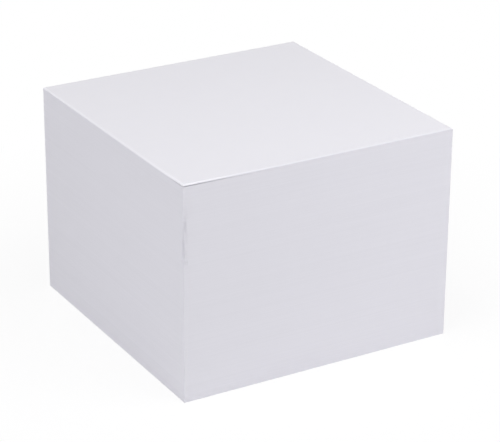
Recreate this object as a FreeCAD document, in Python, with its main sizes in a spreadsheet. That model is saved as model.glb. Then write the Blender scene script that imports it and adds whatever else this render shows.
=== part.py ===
# Memo cube: a square block of loose white note sheets, pressed together and cut flush on all four
# sides. It is paper all the way through, so the whole block is one solid.
# Millimetres, +Z up. The origin is the centre of the base, and the near corner lies at -X -Y.
import FreeCAD, Part
import os

import Sketcher

DRIVING_SIZES = {
    # The stack.
    "sheet_side": 90.0,  # a sheet is square
    "sheet_caliper": 0.096,  # one sheet of 80 gram paper, pressed
    "sheet_count": 700,
    "rim_radius": 0.30,  # the knife rolls the edges of the few top sheets over
    # The few top sheets that lift together off the near corner.
    "lifted_count": 4,
    "lift_run_front": 32.0,  # from the near corner along the -Y side, to where the sheets lie flat
    "lift_run_left": 16.0,  # the same along the -X side
    "corner_lift": 0.38,  # how far the sheets rise at the corner itself
    "root_gap": 0.02,  # the sheets part by this much where the lift begins
    # The shallow dent where the upright near corner was knocked.
    "dent_drop": 7.0,  # from the top of the block down to the upper end of the dent
    "dent_length": 17.0,
    "dent_depth": 0.45,  # along the sheet's diagonal
    "dent_half_angle": 60.0,  # half the angle between the dent's two walls, in degrees
    # How far the cuts run out past the finished block.
    "cut_overrun": 1.0,
}

BLOCK_HEIGHT = "(Sizes.sheet_count * Sizes.sheet_caliper)"
LEAF_THICKNESS = "(Sizes.lifted_count * Sizes.sheet_caliper)"
PRESSED_HEIGHT = f"({BLOCK_HEIGHT} - {LEAF_THICKNESS} - Sizes.root_gap)"

# Paper curls about one straight line. Here the line joins the ends of the two runs, and distances
# to it are measured square to it, from the block's centre and from the near corner.
BEND_SPAN = "hypot(Sizes.lift_run_front; Sizes.lift_run_left)"
CORNER_TO_BEND = f"(Sizes.lift_run_front * Sizes.lift_run_left / {BEND_SPAN})"
CENTRE_TO_CORNER = (
    f"(Sizes.sheet_side / 2 * (Sizes.lift_run_front + Sizes.lift_run_left) / {BEND_SPAN})"
)
CENTRE_TO_BEND = f"({CENTRE_TO_CORNER} - {CORNER_TO_BEND})"
BEND_RADIUS = f"(({CORNER_TO_BEND} ^ 2 + Sizes.corner_lift ^ 2) / (2 * Sizes.corner_lift))"
BEND_TURN = "atan(Sizes.lift_run_front / Sizes.lift_run_left)"

# The dent's floor is an arc, deepest in the middle and running out at both ends.
HALF_DIAGONAL = "(Sizes.sheet_side / sqrt(2))"
DIAGONAL_TURN = "45"
DENT_MIDDLE = f"({BLOCK_HEIGHT} - Sizes.dent_drop - Sizes.dent_length / 2)"
DENT_RADIUS = "(((Sizes.dent_length / 2) ^ 2 + Sizes.dent_depth ^ 2) / (2 * Sizes.dent_depth))"
DENT_MOUTH = (
    "(2 * (Sizes.dent_depth + Sizes.cut_overrun) * tan(Sizes.dent_half_angle * 1 deg))"
)

# The rough stack is larger than the block, and the waste around the block is larger still.
ROUGH_HALF = "Sizes.sheet_side"
WASTE_SIDE = "(3 * Sizes.sheet_side)"

# How a sketch numbers a line's or an arc's points, its own origin and its horizontal axis.
START, END, CENTRE = 1, 2, 3
ORIGIN = (-1, 1)
LEVEL_AXIS = -1

FULL_TURN = 360
NEARLY = 1e-3


def make_sizes(doc):
    """The spreadsheet that holds every driving size."""
    sizes = doc.addObject("Spreadsheet::Sheet", "Sizes")
    for row, (alias, value) in enumerate(DRIVING_SIZES.items(), start=1):
        sizes.set(f"A{row}", alias)
        sizes.set(f"B{row}", str(value))
        sizes.setAlias(f"B{row}", alias)
    doc.recompute()


def new_sketch(body, name, plane_role):
    """A sketch on one of the body's own origin planes."""
    planes = body.Origin.OriginFeatures
    plane = next(feature for feature in planes if feature.Role == plane_role)
    sketch = body.newObject("Sketcher::SketchObject", name)
    sketch.AttachmentSupport = [(plane, "")]
    sketch.MapMode = "FlatFace"
    return sketch


def turn_sketch(sketch, axis, angle):
    """Turns a sketch about an axis of its own plane, by an expression in degrees."""
    any_angle = 1.0
    turn = FreeCAD.Rotation(FreeCAD.Vector(*axis), any_angle)
    sketch.AttachmentOffset = FreeCAD.Placement(FreeCAD.Vector(), turn)
    sketch.setExpression("AttachmentOffset.Rotation.Angle", angle)


def number(item, expression):
    """What an expression comes to. Sketches are drawn near their solution with it."""
    return float(item.evalExpression(expression))


def line(sketch, start, end):
    segment = Part.LineSegment(FreeCAD.Vector(*start, 0), FreeCAD.Vector(*end, 0))
    return sketch.addGeometry(segment, False)


def join(sketch, *pairs):
    """Makes the two points of each pair meet."""
    for first, second in pairs:
        sketch.addConstraint(Sketcher.Constraint("Coincident", *first, *second))


def set_each(sketch, kind, *geometries):
    """Puts one constraint, such as Horizontal, on each geometry."""
    for geometry in geometries:
        sketch.addConstraint(Sketcher.Constraint(kind, geometry))


def dimension(sketch, name, kind, *where, by):
    """A named dimension that follows an expression."""
    index = sketch.addConstraint(Sketcher.Constraint(kind, *where, number(sketch, by)))
    sketch.renameConstraint(index, name)
    sketch.setExpression(f"Constraints.{name}", by)


def add_square(sketch, name, side):
    """A square centred on the sketch's origin, with its sides along the axes."""
    half = number(sketch, side) / 2
    front = line(sketch, (-half, -half), (half, -half))
    right = line(sketch, (half, -half), (half, half))
    back = line(sketch, (half, half), (-half, half))
    left = line(sketch, (-half, half), (-half, -half))
    around = (front, right, back, left, front)
    join(sketch, *(((side, END), (after, START)) for side, after in zip(around, around[1:])))
    set_each(sketch, "Horizontal", front, back)
    set_each(sketch, "Vertical", right, left)
    sketch.addConstraint(Sketcher.Constraint("Symmetric", front, START, back, START, *ORIGIN))
    sketch.addConstraint(Sketcher.Constraint("Equal", front, right))
    dimension(sketch, name, "DistanceX", front, START, front, END, by=side)


def add_rough_stack(body):
    """The stack and its lifted sheets, drawn as one upright section square to the bend line and
    run out along that line, past the finished block."""
    sketch = new_sketch(body, "StackSection", "XZ_Plane")
    turn_sketch(sketch, (0, 1, 0), BEND_TURN)

    far = number(sketch, ROUGH_HALF)
    near = -number(sketch, f"{CENTRE_TO_CORNER} + Sizes.cut_overrun")
    bend = -number(sketch, CENTRE_TO_BEND)
    top = number(sketch, BLOCK_HEIGHT)
    pressed = number(sketch, PRESSED_HEIGHT)
    parted = pressed + number(sketch, "Sizes.root_gap")
    curl_centre = FreeCAD.Vector(bend, parted + number(sketch, BEND_RADIUS), 0)

    def curled_face(flat_height):
        """An arc that leaves the flat level at the bend line, and the height of its near end."""
        radius = curl_centre.y - flat_height
        near_height = curl_centre.y - (radius**2 - (near - bend) ** 2) ** 0.5
        circle = Part.Circle(curl_centre, FreeCAD.Vector(0, 0, 1), radius)
        near_end = circle.parameter(FreeCAD.Vector(near, near_height, 0))
        bend_end = circle.parameter(FreeCAD.Vector(bend, flat_height, 0))
        return sketch.addGeometry(Part.ArcOfCircle(circle, near_end, bend_end), False), near_height

    base = line(sketch, (far, 0), (near, 0))
    stack_end = line(sketch, (near, 0), (near, pressed))
    stack_top = line(sketch, (near, pressed), (bend, pressed))
    root = line(sketch, (bend, pressed), (bend, parted))
    curl_under, under_end = curled_face(parted)
    curl_top, top_end = curled_face(top)
    leaf_end = line(sketch, (near, under_end), (near, top_end))
    flat_top = line(sketch, (bend, top), (far, top))
    far_end = line(sketch, (far, top), (far, 0))

    join(
        sketch,
        ((base, END), (stack_end, START)),
        ((stack_end, END), (stack_top, START)),
        ((stack_top, END), (root, START)),
        ((root, END), (curl_under, END)),
        ((curl_under, START), (leaf_end, START)),
        ((leaf_end, END), (curl_top, START)),
        ((curl_top, END), (flat_top, START)),
        ((flat_top, END), (far_end, START)),
        ((far_end, END), (base, START)),
        ((curl_under, CENTRE), (curl_top, CENTRE)),
    )
    set_each(sketch, "Horizontal", stack_top, flat_top)
    set_each(sketch, "Vertical", stack_end, root, leaf_end, far_end)
    for base_end in (START, END):
        sketch.addConstraint(Sketcher.Constraint("PointOnObject", base, base_end, LEVEL_AXIS))
    # Both faces of the lifted sheets leave the level right above the root, so they start flat.
    for curled in (curl_under, curl_top):
        sketch.addConstraint(Sketcher.Constraint("Vertical", curled, END, curled, CENTRE))
    sketch.addConstraint(Sketcher.Constraint("Vertical", stack_end, END, curl_under, START))

    near_place = f"{CENTRE_TO_CORNER} + Sizes.cut_overrun"
    dimension(sketch, "far_place", "DistanceX", *ORIGIN, base, START, by=ROUGH_HALF)
    dimension(sketch, "near_place", "DistanceX", base, END, *ORIGIN, by=near_place)
    dimension(sketch, "bend_place", "DistanceX", root, START, *ORIGIN, by=CENTRE_TO_BEND)
    dimension(sketch, "pressed", "DistanceY", stack_end, START, stack_end, END, by=PRESSED_HEIGHT)
    dimension(sketch, "root_gap", "DistanceY", root, START, root, END, by="Sizes.root_gap")
    dimension(sketch, "top", "DistanceY", far_end, END, far_end, START, by=BLOCK_HEIGHT)
    dimension(sketch, "bend_radius", "Radius", curl_under, by=BEND_RADIUS)

    pad = body.newObject("PartDesign::Pad", "RoughStack")
    pad.Profile = sketch
    pad.SideType = "Symmetric"
    pad.setExpression("Length", f"2 * {ROUGH_HALF}")


def trim_sides(body):
    """The knife cuts the rough stack to the sheet's square, on all four sides."""
    sketch = new_sketch(body, "SheetOutline", "XY_Plane")
    add_square(sketch, "sheet_side", "Sizes.sheet_side")
    add_square(sketch, "waste_side", WASTE_SIDE)
    pocket = body.newObject("PartDesign::Pocket", "TrimmedSides")
    pocket.Profile = sketch
    pocket.SideType = "Symmetric"
    pocket.Type = "ThroughAll"


def knock_corner(body):
    """The dent in the upright near corner: a wide V across the corner, swept up it on a flat arc
    that runs in and out of the paper."""
    sketch = new_sketch(body, "DentAcross", "XY_Plane")
    turn_sketch(sketch, (0, 0, 1), DIAGONAL_TURN)
    sketch.setExpression("AttachmentOffset.Base.z", DENT_MIDDLE)

    apex = -number(sketch, f"{HALF_DIAGONAL} - Sizes.dent_depth")
    mouth = -number(sketch, f"{HALF_DIAGONAL} + Sizes.cut_overrun")
    half_mouth = number(sketch, DENT_MOUTH) / 2
    pivot = apex - number(sketch, DENT_RADIUS)

    left_wall = line(sketch, (apex, 0), (mouth, half_mouth))
    across = line(sketch, (mouth, half_mouth), (mouth, -half_mouth))
    front_wall = line(sketch, (mouth, -half_mouth), (apex, 0))
    axis = line(sketch, (pivot, half_mouth), (pivot, -half_mouth))
    sketch.setConstruction(axis, True)

    join(
        sketch,
        ((left_wall, END), (across, START)),
        ((across, END), (front_wall, START)),
        ((front_wall, END), (left_wall, START)),
    )
    sketch.addConstraint(Sketcher.Constraint("PointOnObject", left_wall, START, LEVEL_AXIS))
    for upright in (across, axis):
        ends = (upright, START, upright, END)
        sketch.addConstraint(Sketcher.Constraint("Symmetric", *ends, LEVEL_AXIS))
    sketch.addConstraint(Sketcher.Constraint("Equal", across, axis))

    apex_place = f"{HALF_DIAGONAL} - Sizes.dent_depth"
    mouth_place = f"{HALF_DIAGONAL} + Sizes.cut_overrun"
    dimension(sketch, "apex", "DistanceX", left_wall, START, *ORIGIN, by=apex_place)
    dimension(sketch, "mouth", "DistanceX", across, START, *ORIGIN, by=mouth_place)
    dimension(sketch, "mouth_width", "DistanceY", across, END, across, START, by=DENT_MOUTH)
    dimension(sketch, "sweep", "DistanceX", axis, START, left_wall, START, by=DENT_RADIUS)

    groove = body.newObject("PartDesign::Groove", "KnockedCorner")
    groove.Profile = sketch
    groove.ReferenceAxis = (sketch, ["Axis0"])
    groove.Angle = FULL_TURN


def roll_rim(body):
    """The top sheets' edges, rolled over by the knife along all four sides."""
    block = body.Tip
    top = number(block, BLOCK_HEIGHT)
    half_side = number(block, "Sizes.sheet_side") / 2

    def on_rim(edge):
        """True for a top edge on the block's outline, so not for the bend line."""
        middle = edge.valueAt((edge.FirstParameter + edge.LastParameter) / 2)
        outermost = max(abs(middle.x), abs(middle.y))
        lowest = min(vertex.Z for vertex in edge.Vertexes)
        return lowest > top - NEARLY and outermost > half_side - NEARLY

    edges = enumerate(block.Shape.Edges, start=1)
    rim = [f"Edge{index}" for index, edge in edges if on_rim(edge)]
    fillet = body.newObject("PartDesign::Fillet", "RolledRim")
    fillet.Base = (block, rim)
    fillet.setExpression("Radius", "Sizes.rim_radius")


def make_block(doc):
    """The whole block, feature by feature."""
    body = doc.addObject("PartDesign::Body", "PaperBlock")
    body.Label = "paper_block"
    for add_feature in (add_rough_stack, trim_sides, knock_corner, roll_rim):
        add_feature(body)
        doc.recompute()
    return body


def check(doc, bodies):
    """Stops before anything is written if a feature failed or a piece is not one sound solid."""
    for item in doc.Objects:
        if "Invalid" in item.State or "Error" in item.State:
            raise RuntimeError(f"{item.Name} failed: {item.State}")
    for body in bodies:
        shape = body.Shape
        if shape.isNull() or not shape.isValid() or len(shape.Solids) != 1:
            raise RuntimeError(f"{body.Label} is not one sound solid")


doc = FreeCAD.newDocument("MemoCube")
make_sizes(doc)
bodies = [make_block(doc)]
check(doc, bodies)

os.makedirs("parts", exist_ok=True)
for body in bodies:
    body.Shape.exportStep(f"parts/{body.Label}.step")
    box = body.Shape.optimalBoundingBox()
    print(f"{body.Label}: {box.XLength:.3f} x {box.YLength:.3f} x {box.ZLength:.3f} mm")
    print(f"{body.Label}: {body.Shape.Volume:.2f} cubic mm in {len(body.Shape.Faces)} faces")
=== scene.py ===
# %% [markdown]
# # A memo cube, sheet by sheet
# A memo cube is a desk block of loose note paper: seven hundred square sheets, stacked, pressed and
# cut flush on all four sides. The CAD model holds it as one solid of the right size. Here it gets
# its looks: a cut edge for every sheet, four top sheets that curl off the near corner, a knocked
# upright corner, and paper that is slightly uneven in tone.
#
# Everything is in metres, in the frame of the CAD model: +Z up, the origin in the middle of the
# base, and the near corner at -X -Y.

# %% Load the frame
import math

import bmesh
import bpy
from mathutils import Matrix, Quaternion, Vector


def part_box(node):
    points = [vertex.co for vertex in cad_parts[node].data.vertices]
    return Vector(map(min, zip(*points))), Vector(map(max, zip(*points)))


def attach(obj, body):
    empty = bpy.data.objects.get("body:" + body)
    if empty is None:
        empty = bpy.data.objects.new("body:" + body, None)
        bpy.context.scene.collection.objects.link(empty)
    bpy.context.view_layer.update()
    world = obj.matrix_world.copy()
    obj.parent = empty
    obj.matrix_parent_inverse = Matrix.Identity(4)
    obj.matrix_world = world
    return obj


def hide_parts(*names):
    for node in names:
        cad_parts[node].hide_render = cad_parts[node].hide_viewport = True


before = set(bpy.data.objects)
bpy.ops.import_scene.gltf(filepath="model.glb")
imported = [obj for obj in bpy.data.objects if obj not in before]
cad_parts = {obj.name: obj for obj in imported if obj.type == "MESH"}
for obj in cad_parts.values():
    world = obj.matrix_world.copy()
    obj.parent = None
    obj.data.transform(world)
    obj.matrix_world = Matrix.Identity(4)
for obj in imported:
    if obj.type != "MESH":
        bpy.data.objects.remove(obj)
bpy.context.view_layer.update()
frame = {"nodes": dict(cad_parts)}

BODY, NODE, PAPER_SLOT = "root", "paper_block", "note_paper"
MM = 0.001

print("the CAD model holds:", ", ".join(frame["nodes"]))

# %% [markdown]
# ## The sizes of the paper
# Note paper of 80 grams is about a tenth of a millimetre thick when it is pressed. The width of a
# sheet comes from the CAD block. The top of the flat paper doesn't: the block's highest point is
# the tip of the curled corner, so the flat height is counted in sheets.

# %% The sizes of the paper
CALIPER = 0.096 * MM
SHEET_COUNT = 700
CURLED_COUNT = 4

block_low, block_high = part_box(NODE)
side = block_high.x - block_low.x
near_corner = Vector((block_low.x, block_low.y))
flat_top = block_low.z + SHEET_COUNT * CALIPER
pressed_count = SHEET_COUNT - CURLED_COUNT
pressed_top = block_low.z + pressed_count * CALIPER

print(f"a sheet is {side / MM:.1f} mm square, and the flat paper is {flat_top / MM:.3f} mm high")

# %% [markdown]
# ## Working helpers
# Blender's operators act on whatever is selected, and loading the frame leaves the CAD block
# selected. So there is one helper that selects a single object, and one that selects parts of a
# mesh by a test of their place or direction, as a person would click them.

# %% Working helpers
def only(piece):
    """Makes this the one selected object, and the active one."""
    bpy.ops.object.select_all(action="DESELECT")
    piece.select_set(True)
    bpy.context.view_layer.objects.active = piece


def pick(piece, kind, wanted):
    """In edit mode, selects the vertices, edges or faces that pass a test, and nothing else."""
    bpy.ops.mesh.select_mode(type=kind)
    bpy.ops.mesh.select_all(action="DESELECT")
    form = bmesh.from_edit_mesh(piece.data)
    parts = {"VERT": form.verts, "EDGE": form.edges, "FACE": form.faces}[kind]
    for part in parts:
        if wanted(part):
            part.select_set(True)
    form.select_flush_mode()
    bmesh.update_edit_mesh(piece.data)


def apply_modifier(piece, modifier):
    only(piece)
    bpy.ops.object.modifier_apply(modifier=modifier.name)


# %% [markdown]
# ## The cut edge of one sheet
# In the pressed part of the block only the sheets' cut edges can be seen. Thin whole sheets could be
# stacked, but their faces would lie hidden against each other. So a sheet is modelled there as a
# ring, which starts as the outline of a square. It is repeated hundreds of times, so it gets only a
# few dozen faces.

# %% The outline of one sheet
SEGMENTS = 4  # along each side
SHUFFLE_ROOM = 0.06 * MM  # the pressed sheets keep this far inside the block's sides, on average

ring_half = side / 2 - SHUFFLE_ROOM

bpy.ops.object.select_all(action="DESELECT")
bpy.ops.mesh.primitive_plane_add(size=2 * ring_half)
pressed = bpy.context.object
pressed.name = "pressed_sheets"

bpy.ops.object.mode_set(mode="EDIT")
bpy.ops.mesh.select_all(action="SELECT")
bpy.ops.mesh.delete(type="ONLY_FACE")
bpy.ops.mesh.select_all(action="SELECT")
bpy.ops.mesh.subdivide(number_cuts=SEGMENTS - 1)

print("points in the outline:", len(bmesh.from_edit_mesh(pressed.data).verts))

# %% [markdown]
# ### Points by the near corner
# The knocks in the near corner are narrow, so the outline needs points close to it. Finer segments
# all round would give them too, but also far more faces. So only the two segments that end at the
# corner are cut up, evenly at first, and the new points then slide along their side to their places.

# %% Points by the near corner
DENT_POINTS = (0.45 * MM, 0.9 * MM, 1.4 * MM)  # from the corner along each side
CLOSE = 0.1 * MM

segment = 2 * ring_half / SEGMENTS


def from_near_corner(place):
    """How far a place is from the upright near corner of the pressed sheets, along X and Y."""
    return place.x + ring_half, place.y + ring_half


def is_close(one, other):
    return abs(one - other) < CLOSE


def ends_at_near_corner(edge):
    return any(max(from_near_corner(vertex.co)) < CLOSE for vertex in edge.verts)


pick(pressed, "EDGE", ends_at_near_corner)
bpy.ops.mesh.subdivide(number_cuts=len(DENT_POINTS))
for number, wanted in enumerate(DENT_POINTS, start=1):
    found = segment * number / (len(DENT_POINTS) + 1)
    slide = wanted - found
    pick(pressed, "VERT", lambda v: is_close(from_near_corner(v.co)[0], found) and v.co.y < 0)
    bpy.ops.transform.translate(value=(slide, 0, 0))
    pick(pressed, "VERT", lambda v: is_close(from_near_corner(v.co)[1], found) and v.co.x < 0)
    bpy.ops.transform.translate(value=(0, slide, 0))

print("points in the outline:", len(bmesh.from_edit_mesh(pressed.data).verts))

# %% [markdown]
# ### Pull the outline up
# The outline is pulled up by most of the paper's thickness, and then by the little that is left,
# where one sheet's edge runs over into the next. A single pull would do for sheets that lie exactly
# on each other. Here each one will be shifted, and it has to keep its own upright edge.

# %% Pull the outline up
STEP_HEIGHT = 0.030 * MM  # the part of the thickness where one sheet's edge meets the next

bpy.ops.mesh.select_all(action="SELECT")
bpy.ops.transform.translate(value=(0, 0, STEP_HEIGHT / 2))
bpy.ops.mesh.extrude_edges_move(TRANSFORM_OT_translate={"value": (0, 0, CALIPER - STEP_HEIGHT)})
bpy.ops.mesh.extrude_edges_move(TRANSFORM_OT_translate={"value": (0, 0, STEP_HEIGHT)})
bpy.ops.object.mode_set(mode="OBJECT")

print("faces in one sheet's edge:", len(pressed.data.polygons))

# %% [markdown]
# ## Stack the pressed sheets
# The ring could be copied once for each sheet in a loop. An Array modifier does that in one step,
# and it merges the rings where they meet, so that the whole stack is one skin.

# %% Stack the pressed sheets
MERGE = 0.001 * MM

repeat = pressed.modifiers.new("repeat", "ARRAY")
repeat.count = pressed_count
repeat.use_relative_offset = False
repeat.use_constant_offset = True
repeat.constant_offset_displace = (0, 0, CALIPER)
repeat.use_merge_vertices = True
repeat.merge_threshold = MERGE
apply_modifier(pressed, repeat)

print("faces in the stack:", len(pressed.data.polygons))

# %% [markdown]
# ## A push by noise
# The sheets don't lie exactly on each other. Each ring could be picked and moved by itself, but there
# are hundreds of them. A Displace modifier moves all points of a mesh at once, each by what a texture
# says at its place, and an empty tells the texture how large its cells are and where they start.

# %% A push by noise
def add_noise_space(cell, origin):
    """An empty whose own axes measure the noise in cells of this size."""
    bpy.ops.object.select_all(action="DESELECT")
    bpy.ops.object.empty_add(location=origin)
    space = bpy.context.object
    space.scale = cell
    bpy.context.view_layer.update()
    return space


def push(piece, name, direction, strength, basis, cell, origin, group=""):
    """Moves a piece's points along X or Y by a noise, half of them each way."""
    texture = bpy.data.textures.new(name, "CLOUDS")
    texture.noise_basis = basis
    texture.noise_depth = 0
    texture.noise_scale = 1.0
    space = add_noise_space(cell, origin)
    shove = piece.modifiers.new(name, "DISPLACE")
    shove.texture = texture
    shove.texture_coords = "OBJECT"
    shove.texture_coords_object = space
    shove.direction = direction
    shove.strength = strength
    shove.mid_level = 0.5
    shove.vertex_group = group
    apply_modifier(piece, shove)
    bpy.data.objects.remove(space)
    bpy.data.textures.remove(texture)


# %% [markdown]
# ## Shuffle the sheets
# The knife leaves the sides flush, but carrying and pressing shift the sheets a little. Each sheet
# slides as a whole, by a hundredth of a millimetre at most, and batches of sheets slide together.
# Cell noise does this, because it has one value all through a cell: one sheet high, or one batch
# high, and wider than the block. Soft noise would bend the sheets instead, so it is only used at the
# end, to make the cut sides very slightly wavy.

# %% Shuffle the sheets
ROOM = 1.0  # far wider than the block, so that a whole sheet lies in one cell
SLIDES = ((1, 0.012), (11, 0.006), (47, 0.008))  # the sheets in a batch, and its slide in mm
FIRST_CELLS = {"X": 3, "Y": 17}  # so that the two directions don't slide alike
WAVE_CELL = (40 * MM, 40 * MM, 14 * MM)
WAVE_START = (0.3, 0.5, 0.7)  # any place would do, and it gives this block its own waves
WAVE = 0.04 * MM

for direction, first in FIRST_CELLS.items():
    for count, slide_mm in SLIDES:
        cell = (ROOM, ROOM, count * CALIPER)
        origin = (-ROOM / 2, -ROOM / 2, -first * count * CALIPER)
        push(pressed, "slide", direction, slide_mm * MM, "CELL_NOISE", cell, origin)
    push(pressed, "wave", direction, WAVE, "BLENDER_ORIGINAL", WAVE_CELL, WAVE_START)

xs = [vertex.co.x for vertex in pressed.data.vertices]
print(f"the sheets reach from {min(xs) / MM:.3f} to {max(xs) / MM:.3f} mm in X")

# %% [markdown]
# ## Knock the upright corner
# A paper block is soft at its upright corners, and they wear as it is handled. The upper part of the
# near one is worn a little, and in it are two knocks, one under the other, with a nick at their
# foot. They pushed the sheets' corners in by a third of a millimetre. A dent could be cut out, but
# paper isn't lost, it is only pushed. So the points by the corner get a weight, which says how deep
# the dents are at their place, each one a shallow bowl.

# %% Where the dents are, and how deep
DENTS = {  # in mm: down to its middle, half its height, to the right of the corner, reach, depth
    "upper knock": (12.0, 4.0, 0.2, 0.55, 0.34),
    "lower knock": (19.2, 4.4, -0.25, 0.75, 0.35),
    "nick": (23.2, 1.3, -0.1, 1.4, 0.24),
    "wear": (13.0, 12.0, 0.2, 1.1, 0.14),
}
DEEPEST = max(dent[-1] for dent in DENTS.values()) * MM
BY_THE_CORNER = 2 * DENT_POINTS[-1]


def share_of_dent(place):
    """How deep the dents are at a place by the corner, as a share of the deepest."""
    from_left, from_front = from_near_corner(place)
    round_corner = (max(from_left, 0) - max(from_front, 0)) / MM
    down = (flat_top - place.z) / MM
    depths = [0]
    for middle, half_height, right, reach, depth in DENTS.values():
        share_down = 1 - ((down - middle) / half_height) ** 2
        share_round = 1 - ((round_corner - right) / reach) ** 2
        if share_down > 0 and share_round > 0:
            depths.append(depth * share_down * share_round)
    return max(depths) * MM / DEEPEST


dented = pressed.vertex_groups.new(name="dented")
dented_points = 0
for vertex in pressed.data.vertices:
    share = share_of_dent(vertex.co) if max(from_near_corner(vertex.co)) < BY_THE_CORNER else 0
    if share > 0:
        dented.add([vertex.index], share, "REPLACE")
        dented_points += 1

print("points that the dents reach:", dented_points)

# %% [markdown]
# ### Push the dents in
# A Displace modifier for each direction pushes the points in by their weight. That alone would leave
# smooth bowls, as in clay. So a second pair, with cell noise, makes the sheets' corners ragged.

# %% Push the dents in
RAGGED = 0.3 * MM  # how far one sheet's corner differs from the next where the dent is deepest

one_sheet_high = (ROOM, ROOM, CALIPER)
from_the_base = (-ROOM / 2, -ROOM / 2, 0)
for direction in ("X", "Y"):
    shove = pressed.modifiers.new("dent", "DISPLACE")
    shove.direction = direction
    shove.strength = DEEPEST / math.sqrt(2)
    shove.mid_level = 0
    shove.vertex_group = "dented"
    apply_modifier(pressed, shove)
    push(pressed, "ragged", direction, RAGGED, "CELL_NOISE", one_sheet_high, from_the_base, "dented")

print("pushed in:", ", ".join(DENTS))

# %% [markdown]
# ## Close the stack
# The last ring has a step that leads nowhere, so it goes. Then the lowest and the highest ring are
# brought to the stack's own base and top. The stack could stay open at both ends, where nobody looks
# in, but paper is solid, and so is a closed mesh. So each end is filled with one face.

# %% Close the stack
only(pressed)
bpy.ops.object.mode_set(mode="EDIT")
pick(pressed, "VERT", lambda v: v.co.z > pressed_top)
bpy.ops.mesh.delete(type="VERT")

SHEET_GAP = 0.004 * MM  # the air between two sheets that lie flat on each other
pick(pressed, "VERT", lambda v: v.co.z > pressed_top - STEP_HEIGHT)
bpy.ops.transform.translate(value=(0, 0, STEP_HEIGHT / 2 - SHEET_GAP))
bpy.ops.mesh.edge_face_add()
pick(pressed, "VERT", lambda v: v.co.z < block_low.z + STEP_HEIGHT)
bpy.ops.transform.translate(value=(0, 0, -STEP_HEIGHT / 2))
bpy.ops.mesh.edge_face_add()
bpy.ops.mesh.select_all(action="SELECT")
bpy.ops.mesh.normals_make_consistent(inside=False)
bpy.ops.object.mode_set(mode="OBJECT")

skin = bmesh.new()
skin.from_mesh(pressed.data)
print("open edges in the stack:", sum(not edge.is_manifold for edge in skin.edges))
skin.free()
heights = [vertex.co.z / MM for vertex in pressed.data.vertices]
print(f"the stack reaches from {min(heights):.4f} to {max(heights):.4f} mm in Z")

# %% [markdown]
# ## One curled sheet
# The four top sheets lift off the near corner. They are whole sheets, because their faces show.
# A grid gives the paper points to bend by, and a Solidify modifier gives it its thickness.
# Paper that is lifted bends about one straight line, here across the near corner, and sharply at
# first. Cloth simulation could find that shape, but it is simple enough to write down: how far a
# point lies past the line gives its share of the lift, which is kept as a weight.

# %% One curled sheet
CELLS = 36  # across the sheet
RUN_FRONT, RUN_LEFT = 32.0 * MM, 16.0 * MM  # from the near corner to both ends of the bend line
BEND_POWER = 1.15  # 1 would be a crease and flat paper past it, and 2 an even curl

bend_span = math.hypot(RUN_FRONT, RUN_LEFT)
bend_normal = Vector((-RUN_LEFT, -RUN_FRONT)) / bend_span
corner_to_bend = RUN_FRONT * RUN_LEFT / bend_span


def share_of_lift(place):
    """0 up to the bend line, and 1 at the near corner."""
    short_of_corner = (near_corner - place.xy).dot(bend_normal)
    return max(0.0, 1 - short_of_corner / corner_to_bend) ** BEND_POWER


bpy.ops.object.select_all(action="DESELECT")
bpy.ops.mesh.primitive_grid_add(x_subdivisions=CELLS, y_subdivisions=CELLS, size=side)
sheet = bpy.context.object
sheet.name = "curled_sheet"

thicken = sheet.modifiers.new("thicken", "SOLIDIFY")
thicken.thickness = CALIPER - SHEET_GAP
thicken.offset = -1
apply_modifier(sheet, thicken)

lift = sheet.vertex_groups.new(name="lift")
for vertex in sheet.data.vertices:
    share = share_of_lift(vertex.co)
    if share > 0:
        lift.add([vertex.index], share, "REPLACE")

print("faces in a curled sheet:", len(sheet.data.polygons))

# %% [markdown]
# ## The rolled shoulder
# Cutting and pressing have rolled the top edges over, a bit further at the left and right sides. So
# the cut edges of the four top sheets together make a soft shoulder, which slopes most at the top
# and is upright at its foot. A bevel would round each sheet by itself, and leave four small ridges.
# So each sheet's two faces will be scaled instead, to where the shoulder runs at their depth.

# %% The rolled shoulder
SHOULDER_HEIGHT = CURLED_COUNT * CALIPER
SHOULDER_WIDTHS = (0.55 * MM, 0.38 * MM)  # at the left and right sides, and at the front and back
SHOULDER_POWER = 1.5  # 1 would be a straight chamfer


def shoulder_inset(width, depth):
    """How far a shoulder lies inside the block's side, at a depth below the top."""
    return width * (1 - depth / SHOULDER_HEIGHT) ** SHOULDER_POWER


for depth in range(CURLED_COUNT):
    insets = [shoulder_inset(width, depth * CALIPER) / MM for width in SHOULDER_WIDTHS]
    print(f"{depth} sheets down, the shoulder is {insets[0]:.3f} and {insets[1]:.3f} mm inside")

# %% [markdown]
# ## Fan the curled sheets
# A higher sheet lifts a little more than the one under it, so that they fan out at the corner. An
# Array modifier could stack them, but it would make them all alike. So each of the four sheets is a
# copy with its own mesh, which is scaled for the shoulder and then lifted by its own height.

# %% Fan the curled sheets
FAN = 0.02 * MM  # how much less each lower sheet lifts

top_lift = block_high.z - flat_top


def on_upper_face(vertex):
    return vertex.co.z > -CALIPER / 2


def on_lower_face(vertex):
    return vertex.co.z < -CALIPER / 2


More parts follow.
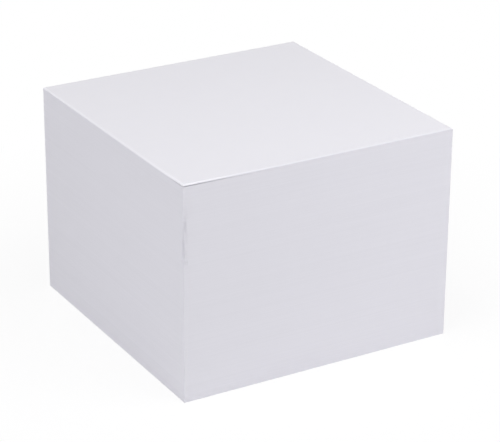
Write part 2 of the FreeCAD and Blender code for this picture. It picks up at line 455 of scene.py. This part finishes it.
curled = []
for below_top in range(CURLED_COUNT):
    leaf = sheet.copy()
    leaf.data = sheet.data.copy()
    leaf.name = f"curled_sheet_{below_top + 1}"
    bpy.context.collection.objects.link(leaf)

    only(leaf)
    bpy.ops.object.mode_set(mode="EDIT")
    for on_face, depth in ((on_upper_face, below_top), (on_lower_face, below_top + 1)):
        shrink = [1 - 2 * shoulder_inset(width, depth * CALIPER) / side for width in SHOULDER_WIDTHS]
        pick(leaf, "VERT", on_face)
        bpy.ops.transform.resize(value=(*shrink, 1), center_override=(0, 0, 0))
    bpy.ops.mesh.select_all(action="SELECT")
    bpy.ops.transform.translate(value=(0, 0, flat_top - below_top * CALIPER))
    bpy.ops.object.mode_set(mode="OBJECT")

    rise = leaf.modifiers.new("lift", "DISPLACE")
    rise.direction = "Z"
    rise.strength = top_lift - below_top * FAN
    rise.mid_level = 0
    rise.vertex_group = "lift"
    apply_modifier(leaf, rise)
    curled.append(leaf)
bpy.data.objects.remove(sheet)

print("curled sheets:", len(curled))

# %% [markdown]
# ### Join the curled sheets
# The four sheets are joined into one piece, as the pressed ones are one. The bend is shaded smooth, so
# that its few faces look like one curve. Smooth shading all over would blur the cut edges too, so
# only shallow angles get it.

# %% Join the curled sheets
SMOOTH_DEGREES = 10

only(curled[0])
for leaf in curled:
    leaf.select_set(True)
bpy.ops.object.join()
curled = bpy.context.object
curled.name = "curled_sheets"
bpy.ops.object.shade_smooth_by_angle(angle=math.radians(SMOOTH_DEGREES))

print("highest point of the curled sheets:", round(max(v.co.z for v in curled.data.vertices) / MM, 4))

# %% [markdown]
# ## The paper's finishes
# Uncoated note paper is matte, and its white has a trace of lavender from the brightener in it.
# An even colour would look like plastic, so noises on the piece's own coordinates give the paper
# its unevenness, each at its real scale. They need no picture files, and they don't slide when the
# block is moved.

# %% The paper's finishes
PAPER_WHITE = (0.828, 0.819, 0.859)
MATTE, BURNISHED = 0.2, 0.5  # the shader's specular level

print("the paper's white:", PAPER_WHITE)

# %% [markdown]
# ### Wire the nodes
# A material is a web of nodes. They could be dragged together by hand, or linked in code one by one,
# which takes many lines. This helper adds a node and links what feeds it in one call.

# %% Wire the nodes
class Wiring:
    """The nodes of a material or a world, added and linked in one call each."""

    def __init__(self, owner):
        owner.use_nodes = True
        self.owner = owner
        self.tree = owner.node_tree
        self.tree.nodes.clear()

    def feed(self, socket, value):
        """Links another node's output to an input, or sets the input to a plain value."""
        if isinstance(value, bpy.types.NodeSocket):
            self.tree.links.new(value, socket)
        else:
            socket.default_value = value

    def add(self, kind, settings=(), **inputs):
        """A node with these settings, its inputs fed by name."""
        node = self.tree.nodes.new(kind)
        for name, value in dict(settings).items():
            setattr(node, name, value)
        for name, value in inputs.items():
            self.feed(node.inputs[name.replace("_", " ")], value)
        return node

    def maths(self, operation, first, second=0.0):
        """What a Math node makes of one value or two."""
        node = self.add("ShaderNodeMath", {"operation": operation})
        self.feed(node.inputs[0], first)
        self.feed(node.inputs[1], second)
        return node.outputs["Value"]


# %% [markdown]
# ### What the finishes share
# All three finishes are one shader, fed by noises: a tone that scales the paper's white, a
# roughness and a bump. Each could be wired from scratch, but shared parts keep them alike.

# %% What the finishes share
UNSTRETCHED = (1, 1, 1)


def stretched(wiring, scale):
    """The piece's own coordinates, stretched for a pattern that is longer one way."""
    place = wiring.add("ShaderNodeTexCoord").outputs["Object"]
    return wiring.add("ShaderNodeMapping", Vector=place, Scale=scale).outputs["Vector"]


def noise(wiring, place, scale, detail=2.0):
    return wiring.add("ShaderNodeTexNoise", Vector=place, Scale=scale, Detail=detail).outputs["Fac"]


def spread(wiring, value, start, end, reach=1.0, slope="LINEAR"):
    """A value from 0 to its reach, brought between a start and an end."""
    way = {"interpolation_type": slope}
    ranged = wiring.add("ShaderNodeMapRange", way, Value=value, From_Max=reach, To_Min=start, To_Max=end)
    return ranged.outputs["Result"]


def bumped(wiring, height, strength, height_mm):
    bump = wiring.add("ShaderNodeBump", Strength=strength, Distance=height_mm * MM, Height=height)
    return bump.outputs["Normal"]


def finish(wiring, tone, roughness, normal, gloss):
    """The material of paper with this tone, roughness, bump and gloss."""
    toned = wiring.add("ShaderNodeVectorMath", {"operation": "SCALE"}, Vector=PAPER_WHITE, Scale=tone)
    shader = wiring.add(
        "ShaderNodeBsdfPrincipled",
        Base_Color=toned.outputs["Vector"],
        Roughness=roughness,
        Normal=normal,
        Specular_IOR_Level=gloss,
    )
    wiring.add("ShaderNodeOutputMaterial", Surface=shader.outputs["BSDF"])
    print("made", wiring.owner.name, "with", len(wiring.tree.nodes), "nodes")
    return wiring.owner


# %% [markdown]
# ### The face of a sheet
# A mill's rollers leave the face smooth. Held up to the light it is cloudy, in spots of some
# millimetres, and its fibres are a fifth of a millimetre long. On the surface both are very faint.
# One noise can't be both so wide and so fine, so there are two.

# %% The face of a sheet
CLOUDS_PER_METRE, FIBRES_PER_METRE = 180, 5200
FACE_TONES = (0.993, 1.007)  # the darkest and the lightest, as shares of the paper's white
FACE_ROUGHNESS = (0.86, 0.96)
FACE_BUMP = (0.12, 0.004)  # its strength, and its height in mm


def make_sheet_face():
    wiring = Wiring(bpy.data.materials.new("sheet_face"))
    place = stretched(wiring, UNSTRETCHED)
    clouds = noise(wiring, place, CLOUDS_PER_METRE, 3.0)
    fibres = noise(wiring, place, FIBRES_PER_METRE, 4.0)
    tone = spread(wiring, clouds, *FACE_TONES)
    roughness = spread(wiring, fibres, *FACE_ROUGHNESS)
    return finish(wiring, tone, roughness, bumped(wiring, fibres, *FACE_BUMP), MATTE)


sheet_face = make_sheet_face()

# %% [markdown]
# ### The cut edges
# This is where the sheets show. Each has its own slight tone, batches of sheets differ a little,
# and the knife leaves the fibres rough. Noise that is stretched far along the sides and squeezed in
# height makes streaks as thin as a sheet. A pattern of even lines would look drawn, and from afar it
# would shimmer.

# %% The cut edges
SHEET_STREAKS = (12, 12, 1 / (1.6 * CALIPER))  # how many in a metre, along X, Y and Z
BATCH_STREAKS = (14, 14, 900)
CUT_FIBRES = (4000, 4000, 7000)
BATCH_SHARE = 0.25  # of the tone, while the rest is the sheets' own
CUT_TONES = (0.955, 1.025)
CUT_ROUGHNESS = (0.9, 1.0)
CUT_BUMP = (0.25, 0.01)


def make_cut_edge():
    wiring = Wiring(bpy.data.materials.new("cut_edge"))
    sheets = noise(wiring, stretched(wiring, SHEET_STREAKS), 1.0, 1.0)
    batches = noise(wiring, stretched(wiring, BATCH_STREAKS), 1.0, 2.0)
    fibres = noise(wiring, stretched(wiring, CUT_FIBRES), 1.0, 3.0)
    floats = {"data_type": "FLOAT"}
    both = wiring.add("ShaderNodeMix", floats, Factor=BATCH_SHARE, A=sheets, B=batches)
    tone = spread(wiring, both.outputs["Result"], *CUT_TONES)
    roughness = spread(wiring, fibres, *CUT_ROUGHNESS)
    return finish(wiring, tone, roughness, bumped(wiring, fibres, *CUT_BUMP), MATTE)


cut_edge = make_cut_edge()

# %% [markdown]
# ### The rolled edges
# Fingers take the top sheets off at the near corner, which wears their rolled edges smooth there.
# They shine a little, and this fades out along the sides. Their colour is also painted lighter there,
# a painted highlight for the light that the rolled rim catches. The left and right sides, which are
# rolled over further, get a fainter painted highlight all along. The distance from the corner tells
# how smooth an edge is and how strong its painted highlight is, and the distance from the middle
# tells whether it is at such a side. Both could be painted on, but then a new size would need new paint.

# %% The rolled edges
SMOOTH_AND_HIGHLIGHT_REACH = 35 * MM  # from the near corner, to where the smoothing and the painted highlight have faded out
EDGE_FIBRES_PER_METRE = 4000
# The side and corner tones are lighter than the plain one: a painted highlight along the rolled rim.
PLAIN_TONE, SIDE_HIGHLIGHT_TONE, CORNER_HIGHLIGHT_TONE = 0.985, 1.06, 1.14
PLAIN_ROUGHNESS, RUBBED_ROUGHNESS = 0.65, 0.4
EDGE_BUMP = (0.2, 0.004)


def make_rolled_edge():
    wiring = Wiring(bpy.data.materials.new("rolled_edge"))
    place = stretched(wiring, UNSTRETCHED)
    fibres = noise(wiring, place, EDGE_FIBRES_PER_METRE, 3.0)

    from_corner = wiring.add("ShaderNodeVectorMath", {"operation": "DISTANCE"})
    wiring.feed(from_corner.inputs[0], place)
    wiring.feed(from_corner.inputs[1], (*near_corner, flat_top))
    # How smooth the rolled edge is, and how strong its painted highlight is, fading from the near
    # corner.
    smooth_and_highlight = spread(wiring, from_corner.outputs["Value"], 1.0, 0.0, SMOOTH_AND_HIGHLIGHT_REACH, "SMOOTHSTEP")

    across = wiring.add("ShaderNodeSeparateXYZ", Vector=place).outputs["X"]
    from_middle = wiring.maths("ABSOLUTE", across)
    side_highlight_share = wiring.maths("GREATER_THAN", from_middle, side / 2 - SHOULDER_WIDTHS[0])

    # The lighter tones here are a painted highlight, strongest at the near corner and fainter along the
    # left and right sides.
    corner_highlight_tone = spread(wiring, smooth_and_highlight, PLAIN_TONE, CORNER_HIGHLIGHT_TONE)
    tone = wiring.maths("MAXIMUM", corner_highlight_tone, spread(wiring, side_highlight_share, PLAIN_TONE, SIDE_HIGHLIGHT_TONE))
    roughness = spread(wiring, smooth_and_highlight, PLAIN_ROUGHNESS, RUBBED_ROUGHNESS)
    return finish(wiring, tone, roughness, bumped(wiring, fibres, *EDGE_BUMP), BURNISHED)


rolled_edge = make_rolled_edge()

# %% [markdown]
# ## Dress the pieces
# A face of the mesh that looks up or down belongs to a sheet's face, and all others were cut by the
# knife. The direction of its normal tells them apart, so nothing has to be picked by hand. Both
# pieces stand for the CAD block, which is then hidden.

# %% Dress the pieces
LEVEL = 0.97  # the least upward or downward part of a sheet face's normal


def was_cut(face):
    return abs(face.normal.z) < LEVEL


for piece, edge in ((pressed, cut_edge), (curled, rolled_edge)):
    piece.data.materials.clear()
    piece.data.materials.append(sheet_face)
    piece.data.materials.append(edge)
    only(piece)
    bpy.ops.object.mode_set(mode="EDIT")
    pick(piece, "FACE", was_cut)
    piece.active_material_index = 1
    bpy.ops.object.material_slot_assign()
    bpy.ops.object.mode_set(mode="OBJECT")
    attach(piece, BODY)
    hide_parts(NODE)
    print(piece.name, "has", len(piece.data.polygons), "faces")

# %% [markdown]
# ## The floor
# The block stands on a wide sheet of white studio paper, and a flat plane is all that it needs.

# %% The floor
FLOOR_WIDE = 6  # metres

bpy.ops.object.select_all(action="DESELECT")
bpy.ops.mesh.primitive_plane_add(size=FLOOR_WIDE, location=(0, 0, 0))
floor = bpy.context.object
floor.name = "floor"

print("the floor is", FLOOR_WIDE, "metres wide")

# %% [markdown]
# ### What the camera sees
# A floor and a backdrop that are lit to pure white would throw too much light back at the block. So
# both look white to the camera, and send the block less light than white would. These two helpers
# tell the camera's own rays from bounced light, and mix two shaders by that.

# %% What the camera sees
def seen_by_camera(wiring):
    """1 for what the camera sees straight or in a gloss or glass, and 0 for bounced light."""
    rays = wiring.add("ShaderNodeLightPath").outputs
    straight_or_gloss = wiring.maths("ADD", rays["Is Camera Ray"], rays["Is Glossy Ray"])
    return wiring.maths("ADD", straight_or_gloss, rays["Is Transmission Ray"])


def mixed(wiring, share, one, other):
    """One shader, with this share of the other."""
    mix = wiring.add("ShaderNodeMixShader", Fac=share)
    wiring.feed(mix.inputs[1], one)
    wiring.feed(mix.inputs[2], other)
    return mix.outputs["Shader"]


# %% [markdown]
# ### The floor's paint
# To the camera the floor is plain white further out, and near the block it is lit in part, so that
# it keeps the block's shadow. More light would make it white too, but would burn out the block. To
# the light that bounces off it, the floor is pale paint.

# %% The floor's paint
FLOOR_PALE = (0.9, 0.9, 0.9, 1)
WHITE = (1, 1, 1, 1)
SHADOW_SHARE = 0.15  # how much of the floor's look near the block is lit
SHADOW_NEAR, SHADOW_FAR = 0.07, 0.16  # metres from the block's middle, between which that fades

paint = Wiring(bpy.data.materials.new("floor_paint"))
place = paint.add("ShaderNodeTexCoord").outputs["Object"]
from_middle = paint.add("ShaderNodeVectorMath", {"operation": "LENGTH"}, Vector=place).outputs["Value"]
fading = {"From_Min": SHADOW_NEAR, "From_Max": SHADOW_FAR, "To_Min": SHADOW_SHARE, "To_Max": 0.0}
lit_share = paint.add("ShaderNodeMapRange", Value=from_middle, **fading).outputs["Result"]
plain = paint.add("ShaderNodeEmission", Color=WHITE, Strength=1.0).outputs["Emission"]
lit = paint.add("ShaderNodeBsdfDiffuse", Color=WHITE).outputs["BSDF"]
bounced = paint.add("ShaderNodeBsdfDiffuse", Color=FLOOR_PALE).outputs["BSDF"]
looks = mixed(paint, seen_by_camera(paint), bounced, mixed(paint, lit_share, plain, lit))
paint.add("ShaderNodeOutputMaterial", Surface=looks)
floor.data.materials.append(paint.owner)

print("the floor has", len(paint.tree.nodes), "nodes")

# %% [markdown]
# ## The world
# A studio's walls send soft light from all sides, a quarter as strong as white. The backdrop that
# the camera sees is white itself. One colour for both would light the block too flatly.

# %% The world
AMBIENT = 0.25

world = bpy.data.worlds.new("studio")
bpy.context.scene.world = world
sky = Wiring(world)
ambient = sky.add("ShaderNodeBackground", Color=WHITE, Strength=AMBIENT).outputs["Background"]
backdrop = sky.add("ShaderNodeBackground", Color=WHITE, Strength=1.0).outputs["Background"]
sky.add("ShaderNodeOutputWorld", Surface=mixed(sky, seen_by_camera(sky), ambient, backdrop))

print("the world has", len(sky.tree.nodes), "nodes")

# %% [markdown]
# ## The lamps
# Wide square lamps stand round the block, so that each side gets its own even level. Of the three
# that the camera sees, the top is the lightest, the front a little darker, and the left darkest.
# High lamps light the top and the sides, and low ones mostly the sides. The two low ones on the seen
# sides are slightly cool, because the sides of white paper look a touch bluer than its top. One big
# lamp could do, but the three levels couldn't be set one by one.

# %% The lamps
NEUTRAL, COOL = (1, 1, 1), (0.89, 0.89, 1)
LAMPS = {  # name: degrees round from the front, degrees up, metres away, metres wide, watts, tint
    "high_left": (-75, 65, 0.9, 0.5, 3.08, NEUTRAL),
    "low_left": (-80, 15, 0.5, 0.35, 0.37, COOL),
    "high_front": (30, 55, 0.5, 0.35, 0.73, NEUTRAL),
    "low_front": (30, 15, 0.5, 0.35, 0.38, COOL),
    "right": (60, 35, 0.5, 0.35, 0.27, NEUTRAL),
    "back": (180, 10, 0.9, 0.5, 2.09, NEUTRAL),
}
block_middle = Vector((0, 0, flat_top / 2))


def towards(round_degrees, up_degrees):
    """The direction that lies so far round from the front (-Y) towards +X, and so far up."""
    around, up = math.radians(round_degrees), math.radians(up_degrees)
    return Vector((math.sin(around) * math.cos(up), -math.cos(around) * math.cos(up), math.sin(up)))


for name, (round_degrees, up_degrees, away, wide, watts, tint) in LAMPS.items():
    outward = towards(round_degrees, up_degrees)
    bpy.ops.object.select_all(action="DESELECT")
    bpy.ops.object.light_add(type="AREA", location=block_middle + outward * away)
    lamp = bpy.context.object
    lamp.name = name
    lamp.data.size = wide
    lamp.data.energy = watts
    lamp.data.color = tint
    lamp.rotation_mode = "QUATERNION"
    lamp.rotation_quaternion = (-outward).to_track_quat("-Z", "Y")
    lamp.visible_camera = False

print("lamps:", len(LAMPS))

# %% [markdown]
# ## The camera
# The camera looks down on the near corner from about two thirds of a metre, through a long lens. So
# near, the block's edges draw together as they go back. From further off, a longer lens could show
# the block just as large, but flatter. The camera is tipped by less than half a degree.

# %% The camera
ROUND_DEGREES, UP_DEGREES, ROLL_DEGREES = -30.3, 23.68, 0.38
DISTANCE, LENS = 0.652, 153.4
AIM = Vector((1.25, -2.27, 30.56)) * MM

outward = towards(ROUND_DEGREES, UP_DEGREES)
tip = Quaternion((0, 0, 1), math.radians(ROLL_DEGREES))
bpy.ops.object.select_all(action="DESELECT")
bpy.ops.object.camera_add(location=AIM + outward * DISTANCE)
camera = bpy.context.object
camera.rotation_mode = "QUATERNION"
camera.rotation_quaternion = (-outward).to_track_quat("-Z", "Y") @ tip
camera.data.lens = LENS
bpy.context.scene.camera = camera

bpy.context.scene.view_settings.view_transform = "Standard"

print("the camera stands at", [round(v / MM) for v in camera.location], "mm")
